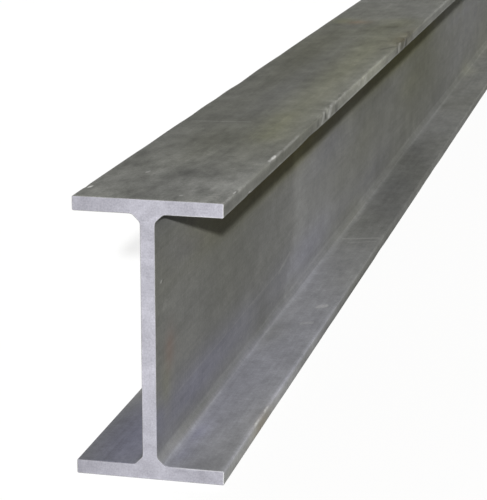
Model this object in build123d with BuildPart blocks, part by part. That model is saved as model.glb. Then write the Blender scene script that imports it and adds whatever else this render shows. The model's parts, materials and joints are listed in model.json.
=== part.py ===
"""Hot-rolled steel I-beam, one solid piece of stock standing on its bottom flange.

Millimetres. X runs across the flanges, Y along the beam and Z up.
The origin is at the middle of the underside of the bottom flange.
"""

import os

from build123d import *

# Driving dimensions of the rolled section
section_depth = 203.0
flange_width = 108.0
flange_thickness = 10.6
web_thickness = 10.7
root_radius = 8.5  # hollow between the web and each flange
toe_radius = 1.0  # worn arris along each edge of a flange

# Length that the stock is cut to
beam_length = 3000.0

# Places on the section, from its centre
half_web = web_thickness / 2
half_width = flange_width / 2
half_depth = section_depth / 2
flange_inner_face = half_depth - flange_thickness

# The section stands upright, with its centre half a depth above the origin
section_plane = Plane(
    origin=(0, 0, half_depth),
    x_dir=(1, 0, 0),
    z_dir=(0, -1, 0),
)

with BuildPart() as beam:
    with BuildSketch(section_plane) as section:
        with BuildLine() as outline:
            # One quarter, from the middle of the web's face up to the middle of the flange
            FilletPolyline(
                (half_web, 0),
                (half_web, flange_inner_face),
                (half_width, flange_inner_face),
                (half_width, half_depth),
                (0, half_depth),
                radius=[root_radius, toe_radius, toe_radius],
            )
            mirror(about=Plane.XZ)
            mirror(about=Plane.YZ)
        make_face()
    # Rolled through at one section, then sawn square at both ends
    extrude(amount=beam_length / 2, both=True)

beam.part.label = "i_beam"

os.makedirs("parts", exist_ok=True)
export_step(beam.part, "parts/i_beam.step")
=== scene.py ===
"""Looks of the rolled steel I-beam: its worn surface and sawn ends, a plain studio and the camera."""

import json
import math
import random

import bpy
import numpy as np
from mathutils import Matrix, Vector, noise


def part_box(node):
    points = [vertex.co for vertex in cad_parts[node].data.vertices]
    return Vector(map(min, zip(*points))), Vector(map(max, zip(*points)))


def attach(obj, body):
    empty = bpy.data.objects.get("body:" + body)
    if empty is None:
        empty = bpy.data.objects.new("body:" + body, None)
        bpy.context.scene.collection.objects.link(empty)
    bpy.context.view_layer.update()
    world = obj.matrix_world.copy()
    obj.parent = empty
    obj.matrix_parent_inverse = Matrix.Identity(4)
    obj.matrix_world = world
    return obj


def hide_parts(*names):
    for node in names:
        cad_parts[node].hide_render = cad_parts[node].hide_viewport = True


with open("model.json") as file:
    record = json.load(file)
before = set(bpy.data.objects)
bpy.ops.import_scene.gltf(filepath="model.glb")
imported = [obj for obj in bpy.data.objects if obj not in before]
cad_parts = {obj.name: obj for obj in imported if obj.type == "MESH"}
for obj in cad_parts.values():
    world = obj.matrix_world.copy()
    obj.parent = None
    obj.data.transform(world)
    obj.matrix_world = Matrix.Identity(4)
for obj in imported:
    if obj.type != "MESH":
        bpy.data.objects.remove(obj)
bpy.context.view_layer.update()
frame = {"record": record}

MM = 0.001

# Section and length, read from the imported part
low_corner, high_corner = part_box("i_beam")
mount_places = {mount["name"]: mount["pos_m"] for mount in frame["record"]["mounts"]}
half_width = high_corner.x
depth = high_corner.z
near_end = low_corner.y
far_end = high_corner.y
half_web = mount_places["web_right_face"][0]
grip_middle, _, flange_inner = mount_places["top_flange_grip_right"]
flange_thickness = depth - flange_inner
root_radius = 2 * grip_middle - half_width - half_web

# The toes' radius, which the frame does not tell
toe_radius = 1.0 * MM

# The rolls leave a flat across the middle of each root's hollow, this far from the corner it fills
root_flat = 4.2 * MM

# Spacing of the mesh
flat_pitch = 10 * MM
toe_pitch = 3 * MM
web_pitch = 12 * MM
station_pitch = 14 * MM
close_steps = (0.4 * MM, 1.1 * MM, 2.6 * MM)
toe_steps = 4
root_steps = 10

end_steps = (0.2 * MM, 1.2 * MM, 3 * MM, 7 * MM)
sharp_angle = math.radians(34)

# Sawn ends: a small uneven bevel breaks the edge. Its burr is real, and is painted bright as a highlight on
# the toe and inner edge of each flange's right half, where it fades in from the root, and dull elsewhere.
bevel = 0.3 * MM
least_bevel = 0.5
burr_width = 0.6 * MM
burr_start = 14 * MM
inner_burr = 0.8
least_burr = 0.15
least_glint = 0.35
burr_noise_scale = (260, 0)
burr_seed = 5.3

# How far the rolled faces and the flange edges wander inside their true planes.
# Each noise has its scale across and along the beam, and its seed.
face_wave = 0.12 * MM
face_noise_scale = (22, 7)
face_seed = 3.1
edge_wave = 0.2 * MM
edge_noise_scale = (2, 9)
edge_seed = 8.7
toe_reach = 12 * MM

# How far wear reaches past the full wear at an arris, and how much lighter it makes the toe
# and the flat beside it
arris_reach = 5 * MM
arris_full = 0.4 * toe_radius
toe_gain = 0.42
flat_gain = 0.12

# Height of each arris, and how worn it is
ARRISES = ((0.0, 0.6), (flange_thickness, 0.5), (flange_inner, 1.0), (depth, 1.0))

# Stretches where the arrises are less worn: the middle from the near end, the reach and how much less
LESS_WORN = (
    (325 * MM, 45 * MM, 0.6),
    (845 * MM, 100 * MM, 0.85),
)

# Painted shade: how much darker the scale is in a root and on the round of an arris, where the slanted faces
# take more light, and its tone at the end's bevel, darker where the bevel catches the key
root_painted_shade = 0.17
round_painted_shade = 0.25
bevel_painted_shade = 0.4

# Knocks on the flange edges that the photo shows.
# Each has its distance from the near end, the side and height of its arris, half its length, depth and reach.
RIGHT, LEFT = 1, -1
TOP_EDGE, TOP_LOWER_EDGE = depth, flange_inner
KNOCKS = (
    (30 * MM, LEFT, TOP_EDGE, 5 * MM, 0.25 * MM, 3 * MM),
    (46 * MM, RIGHT, TOP_EDGE, 4 * MM, 0.6 * MM, 2 * MM),
    (76 * MM, RIGHT, TOP_LOWER_EDGE, 4 * MM, 0.4 * MM, 2 * MM),
    (156 * MM, RIGHT, TOP_EDGE, 8 * MM, 1.0 * MM, 2.5 * MM),
    (338 * MM, RIGHT, TOP_EDGE, 7 * MM, 1.0 * MM, 5 * MM),
    (377 * MM, RIGHT, TOP_EDGE, 7 * MM, 1.7 * MM, 6 * MM),
    (421 * MM, RIGHT, TOP_EDGE, 10 * MM, 1.5 * MM, 6 * MM),
    (556 * MM, RIGHT, TOP_EDGE, 10 * MM, 0.9 * MM, 4 * MM),
    (783 * MM, RIGHT, TOP_EDGE, 10 * MM, 1.4 * MM, 7 * MM),
    (816 * MM, RIGHT, TOP_EDGE, 9 * MM, 0.8 * MM, 5 * MM),
    (853 * MM, RIGHT, TOP_EDGE, 14 * MM, 1.7 * MM, 9 * MM),
    (888 * MM, RIGHT, TOP_EDGE, 9 * MM, 0.9 * MM, 6 * MM),
)

# Stations on each side of a knock, out to this many times half its length
knock_stations = 6
knock_spread = 2

# Lighter knocks placed by a seeded draw, with the ranges of their place as a share of the length
# and of half their length, depth and reach in millimetres
random_seed = 11
random_knocks = 70
random_place = (0.03, 0.97)
random_half_length = (14, 34)
random_push = (0.08, 0.25)
random_reach = (2, 5)

# Broad tones of the mill scale, with painted shade and a painted reflection among them. A row has its face,
# its place across the face and from the near end, its reach both ways, and how much lighter, bluer and redder
# it is than plain scale.
# Places are in millimetres, and are heights on the web and the toes.
# A root row lies in the middle of the lower right root, so its place across is not used.
ZONES = (
    ("top", 34, 45, 24, 75, 0.36, 0.1, 0),
    ("top", -38, 45, 20, 70, 0.17, 0.1, 0),
    ("top", -11, 73, 14, 16, -0.18, 0, 0),
    ("top", 14, 91, 16, 14, -0.16, 0, 0),
    ("top", -5, 35, 13, 11, -0.12, 0, 0),
    ("top", 10, 41, 9, 8, -0.09, 0, 0),
    ("top", -7, 137, 12, 10, -0.11, 0, 0),
    ("top", 0, 300, 22, 180, -0.12, 0, 0),
    ("top", 0, 190, 14, 70, -0.07, 0, 0),
    ("top", -34, 600, 22, 380, -0.2, 0, 0),
    ("top", 32, 520, 20, 360, 0.1, -0.8, 0),
    ("top", 0, 620, 18, 250, -0.06, 0.3, 0),
    ("top", 29, 284, 12, 30, 0.06, -0.5, 0),
    ("top", 26, 331, 10, 25, 0.06, -0.4, 0),
    ("top", 31, 240, 14, 22, -0.06, -0.5, 0),
    ("top", -40, 252, 8, 14, 0.1, 0, 0),
    ("top", -52, 300, 4, 600, -0.2, 0, 0),
    ("top", -30, 160, 12, 45, 0.12, 0, 0),
    ("top", 41, 675, 6, 8, -0.15, 0, 0),
    ("top", 46, 750, 5, 10, -0.32, 0, 0),
    ("top", 26, 922, 10, 9, -0.28, -0.4, 0),
    ("top", 13, 975, 12, 14, 0.12, -0.3, 0),
    ("top", -40, 961, 12, 22, 0.1, -1.0, 0),
    ("top", -30, 780, 26, 200, -0.05, -0.3, 0),
    ("top", 20, 800, 26, 160, 0, -0.5, 0),
    ("top", -18, 908, 16, 30, 0, 0.5, 0),
    ("top", -19, 953, 10, 14, 0, -0.2, 0.35),
    ("top", -10, 680, 50, 420, -0.06, -0.55, 0),
    ("top", 49, 835, 9, 75, -0.28, -0.9, 0.08),
    ("top", 35, 965, 16, 40, -0.14, -0.7, 0),
    ("top", -4, 908, 34, 50, -0.13, -0.5, 0),
    ("web", 75, 60, 45, 80, 0.1, 0, 0),
    ("web", 17, 40, 6, 45, 0.3, 0, 0),
    ("web", 26, 20, 9, 30, 0.08, 0.2, 0),
    ("web", 100, 290, 60, 150, -0.06, 0, 0),
    ("web", 60, 620, 45, 110, 0.1, 0.1, 0),
    ("web", 135, 780, 42, 300, -0.26, 0, 0),
    ("web", 128, 250, 18, 200, -0.05, 0, 0),
    ("web", 95, 850, 70, 130, -0.02, -0.3, 0),
    ("web", 40, 130, 15, 270, 0.12, 1.0, 0),
    ("web", 38, 560, 15, 150, 0.12, 0.35, 0),
    ("web", 86, 36, 13, 13, 0, 0.3, 0.4),
    ("web", 58, 26, 20, 14, 0.05, -0.9, 0),
    ("web", 43, 12, 10, 14, 0, 0.6, 0),
    ("web", 29, 95, 6, 25, 0.1, 0.3, 0),
    ("web", 146, 100, 8, 50, 0, 0.55, 0),
    ("web", 156, 60, 9, 45, 0.02, 0.5, 0),
    ("web", 138, 60, 12, 40, 0.06, 0, 0),
    # Painted shade: these three rows make the web darker and olive where the top flange's shadow falls on it,
    # with a little rust
    ("web", 137, 490, 8, 260, -0.13, -0.9, 0),
    ("web", 154, 450, 19, 260, -0.19, -3.0, 0.16),
    ("web", 143, 1120, 14, 340, -0.2, -3.0, 0.06),
    ("web", 100, 1330, 90, 200, -0.2, -0.6, 0),
    ("web", 120, 500, 14, 130, 0.08, 0, 0),
    ("web", 95, 470, 25, 70, 0.07, 0, 0),
    ("web", 122, 770, 14, 70, -0.07, -0.6, 0),
    ("web", 92, 1210, 22, 110, 0, -0.5, 0),
    # Painted reflection: the near part of the bottom flange is lighter and bluer
    ("flange", 30, 150, 45, 450, 0.57, 0.95, 0),
    ("web", 22, 330, 8, 80, 0, 0.45, 0),
    ("web", 15, 780, 5, 110, -0.26, 0.35, 0),
    ("web", 15, 950, 6, 90, -0.14, 0, 0),
    ("web", 21, 610, 6, 65, 0.1, 0.1, 0),
    ("web", 26, 775, 14, 110, -0.08, 0.15, 0),
    ("web", 24, 960, 18, 120, -0.2, 0, 0),
    ("root", 0, 16, 4, 34, 0.42, -0.1, 0),
    ("root", 0, 62, 4, 32, 0.18, -0.3, 0),
    ("root", 0, 125, 4, 40, -0.03, -0.4, 0),
    ("root", 0, 330, 4, 90, 0, 0.5, 0),
    ("flange", 17, 72, 5, 22, 0.12, 0.7, 0),
    ("flange", 18, 26, 5, 15, 0, 0.5, 0),
    ("flange", 11, 50, 4, 75, 0.1, 0, 0),
    ("flange", 12, 475, 4, 75, 0.22, 0, 0),
    ("flange", 12, 620, 5, 75, 0.19, 0.1, 0),
    ("flange", 12, 775, 4, 80, 0.21, 0.2, 0),
    ("flange", 30, 950, 14, 75, -0.1, 0, 0),
    ("flange", 17, 330, 9, 60, -0.2, 0, 0),
    ("flange", 14, 205, 12, 55, -0.34, 0, 0),
    ("flange", 30, 850, 45, 145, -0.32, 0, 0),
    ("flange", 28, 1095, 34, 140, -0.26, 0, 0),
    ("flange", 16, 1190, 14, 110, -0.14, 0, 0),
    ("flange", -33, 60, 28, 130, -0.37, 1.5, 0),
    ("toe", 198, 200, 8, 230, -0.16, -0.3, 0),
    ("toe", 198, 595, 8, 150, 0.5, -0.6, 0),
    ("toe", 198, 832, 9, 58, -0.5, -0.7, 0.05),
    ("toe", 198, 985, 9, 60, -0.08, -0.3, 0),
    ("toe", 5, 80, 9, 280, 0.95, 0.4, 0),
    ("toe", 0, 500, 4, 330, -0.42, 0, 0),
    ("toe", 5, 120, 8, 30, -0.1, -0.8, 0.25),
)
zone_depth = 3 * MM

# Beyond a soft edge, which bends back near the foot, the web is lighter, and this fades along the beam
web_edge_along = 468 * MM
web_edge_bend = 65 * MM
web_edge_bend_height = 62 * MM
web_edge_width = 14 * MM
web_edge_fade = 200 * MM
web_edge_tone = 0.29

# Plain scale's tint, and the top's tone beside the other faces: painted shade that makes the top darker, as
# it takes more light than the web
plain_tint = -0.3
top_painted_shade = 0.86

# Zones past the length that the photo shows, and on the faces that it hides, are drawn from these ranges.
# The reaches are in millimetres.
photo_reach = 1400 * MM
hidden_zones = 110
hidden_across = (8, 30)
hidden_along = (15, 220)
hidden_up = (8, 40)
hidden_lighter = (-0.2, 0.24)
hidden_bluer = (-0.8, 0.9)

# The bake map's gap between its parts, and its room for the ends
map_gap = 4 * MM
map_end_width = 2.4 * half_width

# Pale lines along each root: the angle up from the flange, the reach and the strength
ROOT_LINES = (
    (math.radians(26), 1.35 * MM, 0.62),
    (math.radians(72), 1.8 * MM, 0.15),
)

# How strongly each face is mottled: the top near its end, then the top, the web and the other faces
near_mottle = 2.0
near_mottle_reach = 190 * MM
top_mottle = 1.1
web_mottle = 0.6
other_mottle = 0.9

# Pale handling marks that the photo shows: the face, the two ends, half the width and how strong each is.
# A place is across the face and from the near end, in millimetres.
PALE_MARKS = (
    ("top", (-50.5, 29), (-49.5, 31), 1.4, 1.0),
    ("top", (53, 33), (53, 38), 1.0, 0.6),
    ("top", (53, 150), (53, 164), 2.2, 1.0),
    ("top", (-25, 87), (-24, 89), 1.3, 0.4),
    ("top", (19, 17), (20, 17), 1.2, 0.3),
    ("top", (-46, 294), (3, 301), 0.8, 0.1),
    ("top", (53.5, 364), (51, 382), 2.0, 0.16),
    ("top", (53.8, 397), (51, 420), 2.2, 0.25),
    ("toe", (195, 352), (203, 363), 2.4, 0.36),
    ("toe", (195, 384), (203, 396), 2.6, 0.45),
    ("toe", (202, 198), (202.5, 248), 2.0, 0.26),
    ("toe", (195, 566), (202, 578), 1.8, 0.35),
    ("toe", (199, 536), (203, 544), 1.8, 0.35),
    ("toe", (195, 786), (203, 796), 2.4, 0.25),
    ("toe", (195, 826), (203, 836), 2.4, 0.2),
    ("toe", (193, 73), (194, 78), 1.2, 0.9),
    ("toe", (10, 102), (10.6, 109), 2.2, 1.0),
    ("toe", (10, 134), (10.6, 140), 1.8, 0.8),
    ("web", (140.8, 14.5), (141.6, 15.5), 1.0, 0.5),
    ("web", (120, 22), (124, 27), 2.2, 0.1),
    ("web", (47, 60), (47, 430), 1.4, 0.07),
    ("web", (46, 408), (52, 452), 2.2, 0.17),
    ("flange", (38, 425), (45, 430), 2.2, 0.45),
    ("flange", (34, 369), (43, 374), 1.8, 0.22),
    ("flange", (14, 684), (51, 697), 1.0, 0.2),
    ("flange", (22, 670), (50, 681), 0.9, 0.15),
)

# Dark marks in the same form: painted shade in the dents of the knocks along the right top arris, and stains
# elsewhere
DARK_MARKS = (
    ("toe", (196, 334), (203, 342), 2.4, 0.45),
    ("toe", (197, 369), (203, 378), 2.4, 0.6),
    ("toe", (194, 418), (203, 430), 3.0, 0.5),
    ("top", (53.6, 379), (52.5, 388), 1.4, 0.4),
    ("top", (53.5, 430), (51, 452), 1.8, 0.4),
    ("toe", (196, 778), (203, 789), 3.2, 0.55),
    ("toe", (195, 808), (203, 820), 2.2, 0.3),
    ("toe", (195, 832), (203, 866), 4.0, 0.6),
    ("toe", (198, 884), (203, 892), 2.6, 0.4),
    ("top", (53.5, 780), (50, 798), 2.0, 0.35),
    ("top", (53.5, 862), (49, 890), 2.4, 0.4),
    ("top", (42, 742), (51, 763), 2.4, 0.5),
    ("top", (49, 838), (53, 850), 2.4, 0.45),
    ("web", (140, 19), (141, 20), 0.9, 0.4),
    ("top", (22, 918), (30, 924), 3.4, 0.4),
    ("top", (39, 673), (43, 677), 2.4, 0.25),
)


def on_face(face, across, along):
    """A place on a named face, from its distances in millimetres across the face and from the near end."""
    y = near_end + along * MM
    if face == "top":
        return Vector((across * MM, y, depth))
    if face == "flange":
        return Vector((across * MM, y, flange_thickness))
    if face == "web":
        return Vector((half_web, y, across * MM))
    if face == "root":
        off_corner = root_flat / math.sqrt(2)
        return Vector((half_web + off_corner, y, flange_thickness + off_corner))
    return Vector((half_width, y, across * MM))


def graded(length, pitch, close_start, close_end):
    """Distances along a flat: close together where it meets an arris or a root, and even between."""
    first = close_steps if close_start else ()
    last = tuple(length - step for step in reversed(close_steps)) if close_end else ()
    begin = first[-1] if first else 0.0
    finish = last[0] if last else length
    count = max(1, round((finish - begin) / pitch))
    even = [begin + (finish - begin) * k / count for k in range(1, count)]
    return [0.0, *first, *even, *last]


def flat(start, end, normal, pitch, close_start, close_end):
    """Outline points on a straight stretch, without its last one, each with its outward normal."""
    length = math.dist(start, end)
    rows = []
    for distance in graded(length, pitch, close_start, close_end):
        share = distance / length
        x = start[0] + (end[0] - start[0]) * share
        z = start[1] + (end[1] - start[1]) * share
        rows.append((x, z, *normal))
    return rows


def arc(centre, radius, first_deg, last_deg, steps):
    """Outline points on a round arris, without its last one."""
    rows = []
    for k in range(steps):
        angle = math.radians(first_deg + (last_deg - first_deg) * k / steps)
        across, up = math.cos(angle), math.sin(angle)
        x = centre[0] + radius * across
        z = centre[1] + radius * up
        rows.append((x, z, across, up))
    return rows


def hollow(centre, radius, first_deg, last_deg, steps):
    """Outline points in a root, without its last one: round at the faces and flat across its middle."""
    middle = math.radians((first_deg + last_deg) / 2)
    flat_away = math.sqrt(2) * radius - root_flat
    rows = []
    for k in range(steps):
        angle = math.radians(first_deg + (last_deg - first_deg) * k / steps)
        to_flat = flat_away / math.cos(angle - middle)
        away = min(radius, to_flat)
        facing = middle if to_flat < radius else angle
        x = centre[0] + away * math.cos(angle)
        z = centre[1] + away * math.sin(angle)
        rows.append((x, z, -math.cos(facing), -math.sin(facing)))
    return rows


def section_outline():
    """The section's outline, clockwise from the middle of the top, as rows of x, z and the outward normal."""
    toe_in = half_width - toe_radius
    root_out = half_web + root_radius
    root_low = flange_inner - root_radius
    upper, lower = depth - toe_radius, flange_inner + toe_radius
    quarter = [
        *flat((0, depth), (toe_in, depth), (0, 1), flat_pitch, False, True),
        *arc((toe_in, upper), toe_radius, 90, 0, toe_steps),
        *flat((half_width, upper), (half_width, lower), (1, 0), toe_pitch, True, True),
        *arc((toe_in, lower), toe_radius, 0, -90, toe_steps),
        *flat((toe_in, flange_inner), (root_out, flange_inner), (0, -1), flat_pitch, True, True),
        *hollow((root_out, root_low), root_radius, 90, 180, root_steps),
        *flat((half_web, root_low), (half_web, depth / 2), (1, 0), web_pitch, True, False),
    ]
    below = [(x, depth - z, nx, -nz) for x, z, nx, nz in reversed(quarter)]
    right = [*quarter, (half_web, depth / 2, 1, 0), *below]
    left = [(-x, z, -nx, nz) for x, z, nx, nz in reversed(right[1:-1])]
    return np.array(right + left)


def beam_stations():
    """Places along the beam: close together at the sawn ends and at the knocks, and even between."""
    length = far_end - near_end
    count = round(length / station_pitch)
    places = [near_end + length * k / count for k in range(1, count)]
    middle = 0.0
    places.append(middle)
    for step in end_steps:
        places += [near_end + step, far_end - step]
    for distance, _, _, half_length, _, _ in KNOCKS:
        for k in range(-knock_stations, knock_stations + 1):
            places.append(near_end + distance + knock_spread * half_length * k / knock_stations)
    kept = []
    for place in sorted(places):
        if not kept or place - kept[-1] > close_steps[0]:
            kept.append(place)
    return np.array(kept)


def all_knocks():
    """The knocks that the photo shows and lighter ones along every flange edge."""
    draw = random.Random(random_seed)
    knocks = list(KNOCKS)
    edges = (0.0, flange_thickness, flange_inner, depth)
    for _ in range(random_knocks):
        distance = draw.uniform(*random_place) * (far_end - near_end)
        half_length = draw.uniform(*random_half_length) * MM
        push = draw.uniform(*random_push) * MM
        reach = draw.uniform(*random_reach) * MM
        side = draw.choice((RIGHT, LEFT))
        edge = draw.choice(edges)
        knocks.append((distance, side, edge, half_length, push, reach))
    return knocks


def wander(points, scale, seed):
    """Smooth noise between 0 and 1 at each point, by its scale across and along the beam."""
    wide, along = scale
    shift = Vector((seed, seed * 2, seed * 3))
    values = []
    for x, y, z in points.reshape(-1, 3):
        values.append(noise.noise(Vector((x * wide, y * along, z * wide)) + shift))
    return 0.5 + 0.5 * np.array(values).reshape(points.shape[:-1])


def wander_shift(points, outline):
    """How far each point moves inside its true plane. A toe moves as one, so its arrises stay round."""
    x, z, nx, nz = np.abs(outline[:, 0]), outline[:, 1], outline[:, 2], outline[:, 3]
    face = face_wave * wander(points, face_noise_scale, face_seed)
    toe = edge_wave * wander(points, edge_noise_scale, edge_seed)
    above_face = np.where(z > depth / 2, z - flange_inner, z)
    inner_share = np.clip((above_face - toe_radius) / (flange_thickness - 2 * toe_radius), 0, 1)
    toe_share = np.clip(1 - (half_width - toe_radius - x) / toe_reach, 0, 1)
    slack = toe_radius / 10
    in_flange = np.abs(z - depth / 2) > flange_inner - depth / 2 - slack
    shift = np.zeros(points.shape)
    shift[..., 0] = np.where(in_flange, -np.sign(outline[:, 0]) * toe_share * toe, -nx * face)
    shift[..., 2] = np.where(in_flange, (1 - 2 * inner_share) * face, -nz * face)
    return shift


def push_knocks(points):
    """Pushes the points in at each knock."""
    for distance, side, height, half_length, push, reach in all_knocks():
        inward = -1 if height > depth / 2 else 1
        if math.isclose(height, flange_inner) or math.isclose(height, flange_thickness):
            inward = -inward
        away = np.hypot(points[..., 0] - side * half_width, points[..., 2] - height)
        along = (points[..., 1] - near_end - distance) / half_length
        weight = np.exp(-along**2) * np.exp(-((away / reach) ** 2))
        points[..., 0] -= side * push * weight
        points[..., 2] += inward * push * weight


def beam_points(outline, stations):
    """Places of the mesh points, one row per station."""
    points = np.zeros((len(stations), len(outline), 3))
    points[..., 0] = outline[:, 0]
    points[..., 1] = stations[:, None]
    points[..., 2] = outline[:, 1]
    points += wander_shift(points, outline)
    push_knocks(points)
    return points


def end_rings(outline, ring, plane):
    """The two rings that close a sawn end, at the bevel and inside its burr, and how the burr glints."""
    normals = np.column_stack((outline[:, 2], np.zeros(len(outline)), outline[:, 3]))
    uneven = wander(ring, burr_noise_scale, burr_seed)[:, None]
    inner = outline[:, 3] * np.sign(depth / 2 - outline[:, 1])
    on_right = np.clip((outline[:, 0] - half_web - root_radius) / burr_start, 0, 1)
    highlit_burr = (on_right * np.clip(outline[:, 2] + inner_burr * inner, 0, 1))[:, None]
    edge = ring - normals * bevel * (least_bevel + uneven)
    edge[:, 1] = plane
    foot = edge - normals * burr_width
    bright = least_burr + (1 - least_burr) * highlit_burr
    glint = bright * (least_glint + (1 - least_glint) * uneven)
    return edge, foot, glint[:, 0]


def falloff(distance, reach):
    """1 at no distance, fading evenly to 0 at the reach."""
    return np.clip(1 - distance / reach, 0, 1)


def wear_values(outline):
    """How far each outline point is on an arris and on a root's line, from 0 to 1, and its tone, with painted
    shade in the roots and on the arrises' rounds.
    """
    x, z = np.abs(outline[:, 0]), outline[:, 1]
    upright, level_share = np.abs(outline[:, 2]), np.abs(outline[:, 3])
    arris = np.zeros(len(outline))
    line = np.zeros(len(outline))
    for height, strength in ARRISES:
        away = np.hypot(x - half_width, z - height) - arris_full
        arris = np.maximum(arris, strength * falloff(away, arris_reach))
    for flange_face, up in ((flange_inner, -1), (flange_thickness, 1)):
        for angle, reach, strength in ROOT_LINES:
            across = half_web + root_radius * (1 - math.sin(angle))
            level = flange_face + up * root_radius * (1 - math.cos(angle))
            line = np.maximum(line, strength * falloff(np.hypot(x - across, z - level), reach))
    slanted = 2 * upright * level_share
    # Painted shade on the slanted faces of the roots and the arrises' rounds
    slant_shade = np.where(x < half_width / 2, root_painted_shade, round_painted_shade) * slanted
    tone = 1 + arris * (toe_gain * upright + flat_gain * level_share) - slant_shade
    return arris, line, tone


def wear_along(points):
    """How worn the arrises are at each mesh point, by its place along the beam."""
    along = points[..., 1] - near_end
    share = np.ones(points.shape[:2])
    for middle, reach, less in LESS_WORN:
        share *= 1 - less * np.exp(-(((along - middle) / reach) ** 2))
    return share


def zone_list(points):
    """The zones that the photo shows and seeded ones on the faces and the length that it does not show."""
    draw = random.Random(random_seed + 1)
    zones = []
    for face, across, along, reach_across, reach_along, *change in ZONES:
        reach = Vector((zone_depth, reach_along * MM, reach_across * MM))
        if face in ("top", "flange"):
            reach = Vector((reach_across * MM, reach_along * MM, zone_depth))
        if face == "root":
            reach = Vector((reach_across * MM, reach_along * MM, reach_across * MM))
        zones.append((on_face(face, across, along), reach, change))
    spots = points.reshape(-1, 3)
    while len(zones) < len(ZONES) + hidden_zones:
        middle = Vector(spots[draw.randrange(len(spots))])
        reach = Vector([draw.uniform(*span) * MM for span in (hidden_across, hidden_along, hidden_up)])
        change = (draw.uniform(*hidden_lighter), draw.uniform(*hidden_bluer), 0)
        seen_side = middle.x > 0 or middle.z > flange_inner
        if not (seen_side and middle.y - 2 * reach.y < near_end + photo_reach):
            zones.append((middle, reach, change))
    return zones


def scale_values(points):
    """How light, blue and red the mill scale is at each mesh point, with its painted shade and reflection."""
    tone = np.ones(points.shape[:2])
    tint = np.full(points.shape[:2], plain_tint)
    rust = np.zeros(points.shape[:2])
    for middle, reach, (lighter, bluer, redder) in zone_list(points):
        away = (points - np.array(middle)) / np.array(reach)
        weight = np.exp(-np.sum(away**2, axis=-1))
        tone += lighter * weight
        tint += bluer * weight
        rust += redder * weight
    below = np.clip((web_edge_bend_height - points[..., 2]) / web_edge_bend_height, 0, 1)
    past = points[..., 1] - near_end - web_edge_along + web_edge_bend * below
    share = np.clip(past / web_edge_width, 0, 1) * np.exp(-np.maximum(past, 0) / web_edge_fade)
    on_web = np.abs(points[..., 0] - half_web) < zone_depth
    tone += np.where(on_web, web_edge_tone * share, 0.0)
    # Painted shade: the top is darker than the other faces
    tone *= np.where(points[..., 2] > depth - toe_radius, top_painted_shade, 1.0)
    return tone, tint, rust


def mottle_values(points):
    """How strongly the mill scale is mottled at each mesh point."""
    along = points[..., 1] - near_end
    top = top_mottle + (near_mottle - top_mottle) * np.exp(-((along / near_mottle_reach) ** 2))
    values = np.full(points.shape[:2], other_mottle)
    values = np.where(np.abs(points[..., 0]) < half_web + root_radius / 2, web_mottle, values)
    return np.where(points[..., 2] > depth - 2 * toe_radius, top, values)


def bake_map(mesh, columns, outline, sawn_from):
    """A map with the two halves of the beam unrolled one above the other, and the ends beside them."""
    steps = np.hypot(*np.diff(np.vstack((outline, outline[:1]))[:, :2], axis=0).T)
    around = np.concatenate(([0.0], np.cumsum(steps)))
    girth = around[-1]
    side = max(2 * girth + map_gap, far_end + map_gap + map_end_width)
    coordinates = np.array([vertex.co for vertex in mesh.vertices])
    layer = mesh.uv_layers.new(name="OFBake")
    values = np.zeros((len(mesh.loops), 2))
    for face in mesh.polygons:
        corners = coordinates[[mesh.loops[k].vertex_index for k in face.loop_indices]]
        row = 0 if corners.mean(axis=0)[1] < 0 else 1
        for loop, corner in zip(face.loop_indices, corners):
            if face.index >= sawn_from:
                u = far_end + map_gap + half_width + corner[0]
                v = corner[2] + row * (depth + map_gap)
            else:
                index = mesh.loops[loop].vertex_index % columns
                wrapped = index == 0 and face.index % columns == columns - 1
                u = corner[1] - (near_end if row == 0 else 0.0)
                v = (girth if wrapped else around[index]) + row * (girth + map_gap)
            values[loop] = (u / side, v / side)
    layer.data.foreach_set("uv", values.ravel())


def build_beam():
    """The beam's mesh: the section drawn along its stations, closed by the sawn ends."""
    outline = section_outline()
    stations = beam_stations()
    points = beam_points(outline, stations)
    columns = len(outline)
    near_edge, near_foot, near_glint = end_rings(outline, points[0], near_end)
    far_edge, far_foot, far_glint = end_rings(outline, points[-1], far_end)
    rings = np.concatenate((points, near_edge[None], near_foot[None], far_edge[None], far_foot[None]))
    count = len(stations)

    def band(first, second):
        """Quads between two rings, given by their numbers."""
        rows = []
        for i in range(columns):
            after = (i + 1) % columns
            lower = (first * columns + i, first * columns + after)
            upper = (second * columns + after, second * columns + i)
            rows.append(lower + upper)
        return rows

    faces = []
    for k in range(count - 1):
        faces += band(k, k + 1)
    faces += band(count, 0) + band(count - 1, count + 2)
    sawn_from = len(faces)
    faces += band(count + 1, count) + band(count + 2, count + 3)
    faces.append([(count + 1) * columns + i for i in reversed(range(columns))])
    faces.append([(count + 3) * columns + i for i in range(columns)])

    mesh = bpy.data.meshes.new("rolled_beam")
    mesh.from_pydata(rings.reshape(-1, 3).tolist(), [], faces)
    mesh.validate()
    mesh.set_sharp_from_angle(angle=sharp_angle)
    for face in mesh.polygons:
        face.use_smooth = face.index < sawn_from
        face.material_index = 0 if face.index < sawn_from else 1
    arris, line, wear_and_shade_tone = wear_values(outline)
    tone, tint, rust = scale_values(rings)
    # Painted shade on the bevels of both ends
    tone[[count, count + 2]] *= bevel_painted_shade
    plain = np.zeros(columns)
    for name, values in (
        ("arris", arris * wear_along(rings)),
        ("root_line", np.tile(line, (len(rings), 1))),
        ("tone", tone * wear_and_shade_tone),
        ("tint", tint),
        ("rust", rust),
        ("mottle", mottle_values(rings)),
        ("glint", np.concatenate((np.zeros((count, columns)), [near_glint, plain, far_glint, plain]))),
    ):
        layer = mesh.attributes.new(name, "FLOAT", "POINT")
        layer.data.foreach_set("value", values.astype(np.float32).ravel())
    bake_map(mesh, columns, outline, sawn_from)
    beam = bpy.data.objects.new("rolled_beam", mesh)
    bpy.context.collection.objects.link(beam)
    return beam


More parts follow.
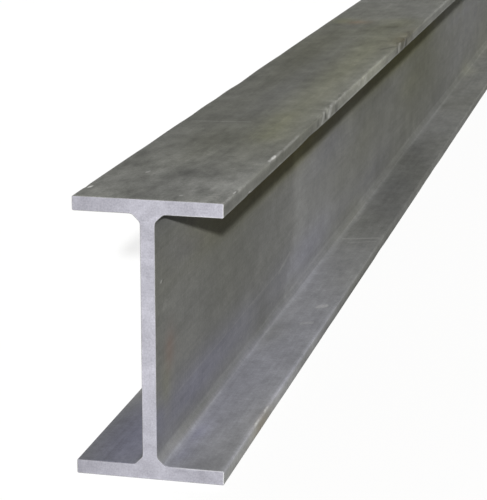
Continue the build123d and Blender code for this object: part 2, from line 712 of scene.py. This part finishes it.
# A handling mark reaches further along the beam than across it. This share of its half width is full.
squeeze = Vector((1, 0.3, 1))
mark_core = 0.3

# Plain tones of the two surfaces
scale_albedo = 0.14
scale_green = 1.01
blue_swing = 0.16
worn_colour = (0.42, 0.42, 0.41, 1)
stain_and_shade_colour = (0.05, 0.05, 0.045, 1)
rust_colour = (0.2, 0.125, 0.09, 1)
sawn_colour = (0.375, 0.37, 0.415)
burr_highlight_colour = (0.85, 0.85, 0.86, 1)

# Noise on each surface. A row has its squeeze across, along and up the beam, then its scale, detail,
# roughness and distortion.
SCALE_NOISE = {
    "blotch": ((1, 0.42, 1), 38, 5, 0.6, 0),
    "cloud": ((1, 0.42, 1), 95, 4, 0.6, 0),
    "drift": ((1, 0.42, 1), 8, 2, 0.5, 0),
    "grain": ((1, 1, 1), 330, 3, 0.7, 0),
    "rolls": ((0.05, 1, 0.05), 260, 2, 0.5, 0),
    "drag": ((1, 0.03, 1), 240, 3, 0.6, 0),
    "hairlines": ((1, 0.02, 1), 900, 2, 0.5, 0),
    "pits": ((1, 1, 1), 1100, 2, 0.6, 0),
    "rough_edge": ((1, 0.3, 1), 200, 4, 0.75, 0),
    "patches": ((1, 1, 1), 9, 2, 0.5, 0),
}
SAWN_NOISE = {
    "lines": ((0.05, 1, 1), 700, 2, 0.5, 0),
    "smear": ((1, 1, 1), 45, 3, 0.5, 1.5),
    "speckle": ((1, 1, 1), 800, 2, 0.6, 0),
}

# How far each noise swings the scale's tone: times the mottle, times the mottle's square root but at
# least 1, and the same all over. The last row is for the sawn ends.
MOTTLED_SWINGS = {"blotch": 0.7, "cloud": 0.6}
FINE_SWINGS = {"grain": 0.48, "pits": 0.45}
EVEN_SWINGS = {"drift": 0.25, "rolls": 0.1, "drag": 0.22, "hairlines": 0.2}
SAWN_SWINGS = {"lines": 0.14, "smear": 0.7, "speckle": 0.62}

# Mill scale: the drift's swing of the tint, the gain on a root's line, its gloss and its relief
tint_swing = 0.45
root_line_gain = 1.75
scale_roughness = (0.7, 0.9)
scale_specular = 0.02
scale_relief = 0.018 * MM
blotch_relief = 2.0

# Wear: how ragged its edge is, where it sets in and is full, and how much it then shows.
# It comes in patches, and speckles break it and the marks, each from a low noise to a high one.
ragged_swing = 0.9
worn_span = (0.5, 1.4)
worn_most = 0.34
patch_span = (0.4, 0.62)
patch_least = 0.2
speckle_span = (0.3, 0.6)
speckle_least = 0.5

# Sawn ends: their tones from the web out to the flange, from left to right, lighter to the right as a painted
# highlight, and between two heights, darker at the top and the foot as painted shade
sawn_web_tone = 1.04
sawn_flange_tone = 0.945
sawn_flange_from = 0.6 * half_width
sawn_highlight_lean = (0.95, 1.05)
SAWN_SHADE_LEVELS = (
    (0.0, 0.4 * depth, 0.95, 1.0),
    (0.5 * depth, depth, 1.0, 0.9),
)
sawn_roughness = (0.28, 0.4)
sawn_relief = 0.02 * MM


def wire(tree, value, socket):
    """Links an output to a socket, or sets the socket to a constant."""
    if isinstance(value, bpy.types.NodeSocket):
        tree.links.new(value, socket)
    else:
        socket.default_value = value


def node(tree, kind, inputs, **settings):
    """A new node with its settings made and its inputs, by name or number, wired; gives its first output."""
    made = tree.nodes.new(kind)
    for name, value in settings.items():
        setattr(made, name, value)
    for key, value in inputs.items():
        wire(tree, value, made.inputs[key])
    return made.outputs[0]


def maths(tree, operation, first, second=0.0, clamp=False):
    """One sum on two values."""
    return node(tree, "ShaderNodeMath", {0: first, 1: second}, operation=operation, use_clamp=clamp)


def ramp(tree, value, low, high, to_low, to_high, smooth=False):
    """Maps a value between low and high to one between to_low and to_high."""
    kind = "SMOOTHSTEP" if smooth else "LINEAR"
    inputs = {"Value": value, "From Min": low, "From Max": high, "To Min": to_low, "To Max": to_high}
    return node(tree, "ShaderNodeMapRange", inputs, interpolation_type=kind, clamp=smooth)


def stretched(tree, place, shares):
    """A place scaled by a share each way."""
    return node(tree, "ShaderNodeVectorMath", {0: place, 1: shares}, operation="MULTIPLY")


def noise_fields(tree, place, rows):
    """A noise field for each named row."""
    fields = {}
    for name, (shares, scale, detail, roughness, distortion) in rows.items():
        inputs = {"Vector": stretched(tree, place, shares), "Scale": scale, "Detail": detail}
        inputs |= {"Roughness": roughness, "Distortion": distortion}
        fields[name] = node(tree, "ShaderNodeTexNoise", inputs)
    return fields


def point_value(tree, name):
    """A value held by the mesh points."""
    made = tree.nodes.new("ShaderNodeAttribute")
    made.attribute_name = name
    return made.outputs["Fac"]


def mixed(tree, share, first, second):
    """Two colours mixed by a share."""
    made = tree.nodes.new("ShaderNodeMix")
    made.data_type = "RGBA"
    wire(tree, share, made.inputs[0])
    wire(tree, first, made.inputs[6])
    wire(tree, second, made.inputs[7])
    return made.outputs[2]


def mark_share(tree, place, start, end, half):
    """1 on a straight mark between two places and 0 off it. The place given is already squeezed."""
    start = start * squeeze
    end = end * squeeze
    run = end - start
    from_start = node(tree, "ShaderNodeVectorMath", {0: place, 1: start}, operation="SUBTRACT")
    dot = tree.nodes.new("ShaderNodeVectorMath")
    dot.operation = "DOT_PRODUCT"
    wire(tree, from_start, dot.inputs[0])
    wire(tree, run / run.length_squared, dot.inputs[1])
    share = maths(tree, "ADD", dot.outputs["Value"], 0.0, clamp=True)
    along = node(tree, "ShaderNodeVectorMath", {0: run, "Scale": share}, operation="SCALE")
    off = tree.nodes.new("ShaderNodeVectorMath")
    off.operation = "DISTANCE"
    wire(tree, from_start, off.inputs[0])
    wire(tree, along, off.inputs[1])
    return ramp(tree, off.outputs["Value"], mark_core * half, half, 1.0, 0.0, smooth=True)


def new_material(name):
    """A new material with its node tree, its shader and the place on the object."""
    material = bpy.data.materials.new(name)
    material.use_nodes = True
    tree = material.node_tree
    place = tree.nodes.new("ShaderNodeTexCoord").outputs["Object"]
    return material, tree, tree.nodes["Principled BSDF"], place


def marked(tree, place, share, marks, speckled):
    """A share raised to each mark's strength where the mark lies."""
    place = stretched(tree, place, squeeze)
    for face, first, last, half, strength in marks:
        mark = mark_share(tree, place, on_face(face, *first), on_face(face, *last), half * MM)
        strong = maths(tree, "MULTIPLY", maths(tree, "MULTIPLY", mark, strength), speckled)
        share = maths(tree, "MAXIMUM", share, strong)
    return share


def swung(tree, value, field, swing):
    """A value made larger and smaller by a noise field."""
    return maths(tree, "MULTIPLY", value, ramp(tree, field, 0.0, 1.0, 1 - swing / 2, 1 + swing / 2))


def rolled_surface():
    """Dull mill scale: blotched and faintly streaked, worn pale along the arrises, marked by handling and
    stains, with painted shade in the knocks' dents.
    """
    material, tree, shader, place = new_material("mill_scale")
    fields = noise_fields(tree, place, SCALE_NOISE)
    blotch, grain, drift = fields["blotch"], fields["grain"], fields["drift"]
    tone = maths(tree, "MULTIPLY", point_value(tree, "tone"), scale_albedo)
    mottle = point_value(tree, "mottle")
    fine = maths(tree, "SQRT", maths(tree, "MAXIMUM", mottle, 1.0))
    for swings, strength in ((MOTTLED_SWINGS, mottle), (FINE_SWINGS, fine)):
        for name, swing in swings.items():
            change = ramp(tree, fields[name], 0.0, 1.0, -swing / 2, swing / 2)
            change = maths(tree, "MULTIPLY", change, strength)
            tone = maths(tree, "MULTIPLY", tone, maths(tree, "ADD", change, 1.0))
    for name, swing in EVEN_SWINGS.items():
        tone = swung(tree, tone, fields[name], swing)
    line = maths(tree, "MULTIPLY", point_value(tree, "root_line"), fields["drag"])
    tone = maths(tree, "MULTIPLY", tone, ramp(tree, line, 0.0, 1.0, 1.0, root_line_gain))
    tint_drift = ramp(tree, drift, 0.0, 1.0, -tint_swing, tint_swing)
    tint = maths(tree, "ADD", point_value(tree, "tint"), tint_drift)
    blue = maths(tree, "MULTIPLY", tone, ramp(tree, tint, -1.0, 1.0, 1 - blue_swing, 1 + blue_swing))
    green = maths(tree, "MULTIPLY", tone, scale_green)
    colour = node(tree, "ShaderNodeCombineColor", {"Red": tone, "Green": green, "Blue": blue})
    colour = mixed(tree, point_value(tree, "rust"), colour, rust_colour)

    ragged = ramp(tree, fields["rough_edge"], 0.0, 1.0, -ragged_swing, ragged_swing)
    ragged = maths(tree, "ADD", point_value(tree, "arris"), ragged)
    worn = ramp(tree, ragged, *worn_span, 0.0, worn_most, smooth=True)
    patched = ramp(tree, fields["patches"], *patch_span, patch_least, 1.0, smooth=True)
    worn = maths(tree, "MULTIPLY", worn, patched)
    speckled = ramp(tree, grain, *speckle_span, speckle_least, 1.0, smooth=True)
    worn = marked(tree, place, worn, PALE_MARKS, speckled)
    stain_and_shade = marked(tree, place, 0.0, DARK_MARKS, speckled)
    colour = mixed(tree, stain_and_shade, colour, stain_and_shade_colour)
    colour = mixed(tree, worn, colour, worn_colour)
    wire(tree, colour, shader.inputs["Base Color"])
    wire(tree, ramp(tree, grain, 0.0, 1.0, *scale_roughness), shader.inputs["Roughness"])
    shader.inputs["Specular IOR Level"].default_value = scale_specular

    raised = maths(tree, "MULTIPLY", blotch, blotch_relief)
    height = maths(tree, "ADD", raised, maths(tree, "ADD", grain, fields["pits"]))
    bump = node(tree, "ShaderNodeBump", {"Height": height, "Strength": 1.0, "Distance": scale_relief})
    wire(tree, bump, shader.inputs["Normal"])
    return material


def sawn_surface():
    """Bare sawn steel: pale, finely lined by the saw and speckled, with a painted highlight to the right,
    painted shade at the top and foot, and a burr painted bright at its edges.
    """
    material, tree, shader, place = new_material("sawn_steel")
    fields = noise_fields(tree, place, SAWN_NOISE)
    across = tree.nodes.new("ShaderNodeSeparateXYZ")
    wire(tree, place, across.inputs[0])
    off_web = maths(tree, "ABSOLUTE", across.outputs["X"])
    tone = ramp(tree, off_web, half_web, sawn_flange_from, sawn_web_tone, sawn_flange_tone, smooth=True)
    # Painted highlight: lighter to the right
    highlight_lean = ramp(tree, across.outputs["X"], -half_width, half_width, *sawn_highlight_lean)
    tone = maths(tree, "MULTIPLY", tone, highlight_lean)
    # Painted shade: darker at the top and the foot
    for low, high, low_tone, high_tone in SAWN_SHADE_LEVELS:
        level = ramp(tree, across.outputs["Z"], low, high, low_tone, high_tone, smooth=True)
        tone = maths(tree, "MULTIPLY", tone, level)
    for name, swing in SAWN_SWINGS.items():
        tone = swung(tree, tone, fields[name], swing)
    colour = node(tree, "ShaderNodeVectorMath", {0: sawn_colour, "Scale": tone}, operation="SCALE")
    # The burr's brightness is a painted highlight
    colour = mixed(tree, point_value(tree, "glint"), colour, burr_highlight_colour)
    wire(tree, colour, shader.inputs["Base Color"])
    wire(tree, ramp(tree, fields["speckle"], 0.0, 1.0, *sawn_roughness), shader.inputs["Roughness"])
    shader.inputs["Metallic"].default_value = 1.0
    height = maths(tree, "ADD", fields["lines"], fields["speckle"])
    bump = node(tree, "ShaderNodeBump", {"Height": height, "Strength": 1.0, "Distance": sawn_relief})
    wire(tree, bump, shader.inputs["Normal"])
    return material


# Studio: a key from behind the camera, a softer low light from the far left, fill from all round
# and a pale floor
key_strength = 8.8
key_angle = math.radians(1.4)
key_direction = Vector((-0.2295, 0.9235, -0.2937))
side_strength = 2.8
side_angle = math.radians(30)
side_direction = Vector((0.78, -0.6, -0.17))
fill_colour = (1.0, 0.97, 0.87, 1)
fill_around = 0.52
fill_above = 0.05
white = (1, 1, 1, 1)
floor_half = 40.0
floor_colour = (0.2, 0.2, 0.2, 1)
floor_glow = 0.78


def seen_ray(tree):
    """1 for rays that look at the background: straight from the camera, off gloss or through glass."""
    path = tree.nodes.new("ShaderNodeLightPath")
    total = path.outputs["Is Camera Ray"]
    for name in ("Is Glossy Ray", "Is Transmission Ray"):
        total = maths(tree, "MAXIMUM", total, path.outputs[name])
    return total


def build_world():
    """White to the eye, and on the part a soft fill that comes from all round more than from above."""
    world = bpy.data.worlds.new("studio")
    world.use_nodes = True
    tree = world.node_tree
    output = tree.nodes["World Output"]
    fill = tree.nodes["Background"]
    fill.inputs["Color"].default_value = fill_colour
    direction = tree.nodes.new("ShaderNodeSeparateXYZ")
    wire(tree, tree.nodes.new("ShaderNodeTexCoord").outputs["Generated"], direction.inputs[0])
    level = ramp(tree, direction.outputs["Z"], 0.0, 1.0, fill_around, fill_above)
    wire(tree, level, fill.inputs["Strength"])
    backdrop = tree.nodes.new("ShaderNodeBackground")
    backdrop.inputs["Color"].default_value = white
    backdrop.inputs["Strength"].default_value = 1.0
    choice = tree.nodes.new("ShaderNodeMixShader")
    tree.links.new(seen_ray(tree), choice.inputs["Fac"])
    tree.links.new(fill.outputs[0], choice.inputs[1])
    tree.links.new(backdrop.outputs[0], choice.inputs[2])
    tree.links.new(choice.outputs[0], output.inputs["Surface"])
    bpy.context.scene.world = world


def build_floor():
    """A pale floor that looks white in the open and keeps the beam's shadow."""
    mesh = bpy.data.meshes.new("floor")
    corners = [(-1, -1), (1, -1), (1, 1), (-1, 1)]
    mesh.from_pydata([(x * floor_half, y * floor_half, 0) for x, y in corners], [], [(0, 1, 2, 3)])
    floor = bpy.data.objects.new("floor", mesh)
    bpy.context.collection.objects.link(floor)
    material = bpy.data.materials.new("pale_floor")
    material.use_nodes = True
    tree = material.node_tree
    tree.nodes.remove(tree.nodes["Principled BSDF"])
    matt = tree.nodes.new("ShaderNodeBsdfDiffuse")
    matt.inputs["Color"].default_value = floor_colour
    glow = tree.nodes.new("ShaderNodeEmission")
    strength = maths(tree, "MULTIPLY", seen_ray(tree), floor_glow)
    tree.links.new(strength, glow.inputs["Strength"])
    both = tree.nodes.new("ShaderNodeAddShader")
    tree.links.new(matt.outputs[0], both.inputs[0])
    tree.links.new(glow.outputs[0], both.inputs[1])
    tree.links.new(both.outputs[0], tree.nodes["Material Output"].inputs["Surface"])
    mesh.materials.append(material)


def build_lamp(name, strength, angle, direction, glints):
    """A distant lamp that shines along a direction, and glints on metal or only lights matt surfaces."""
    lamp = bpy.data.lights.new(name, "SUN")
    lamp.energy = strength
    lamp.angle = angle
    holder = bpy.data.objects.new(name, lamp)
    holder.rotation_mode = "QUATERNION"
    holder.rotation_quaternion = direction.to_track_quat("-Z", "Y")
    holder.visible_glossy = glints
    bpy.context.collection.objects.link(holder)


# The photo's view, in depths of the section from the middle of the near end's foot
camera_right_share = 1.719
camera_back_share = 5.913
camera_up_share = 2.395
camera_yaw = math.radians(13.19)
camera_pitch = math.radians(14.32)
camera_roll = math.radians(0.10)
photo_focal_pixels = 1878.7
photo_height_pixels = 500
sensor_width = 36.0


def build_camera():
    """The camera that took the photo."""
    lens = bpy.data.cameras.new("camera")
    lens.sensor_width = sensor_width
    lens.lens = photo_focal_pixels / photo_height_pixels * sensor_width
    camera = bpy.data.objects.new("camera", lens)
    camera.location = (
        camera_right_share * depth,
        near_end - camera_back_share * depth,
        camera_up_share * depth,
    )
    turn = Matrix.Rotation(camera_yaw, 3, "Z") @ Matrix.Rotation(math.pi / 2 - camera_pitch, 3, "X")
    camera.rotation_euler = (turn @ Matrix.Rotation(camera_roll, 3, "Z")).to_euler()
    bpy.context.collection.objects.link(camera)
    bpy.context.scene.camera = camera


beam = build_beam()
beam.data.materials.append(rolled_surface())
beam.data.materials.append(sawn_surface())
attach(beam, "root")
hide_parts("i_beam")
build_world()
build_floor()
build_lamp("key", key_strength, key_angle, key_direction, glints=True)
build_lamp("side", side_strength, side_angle, side_direction, glints=False)
build_camera()
bpy.context.scene.view_settings.view_transform = "Standard"
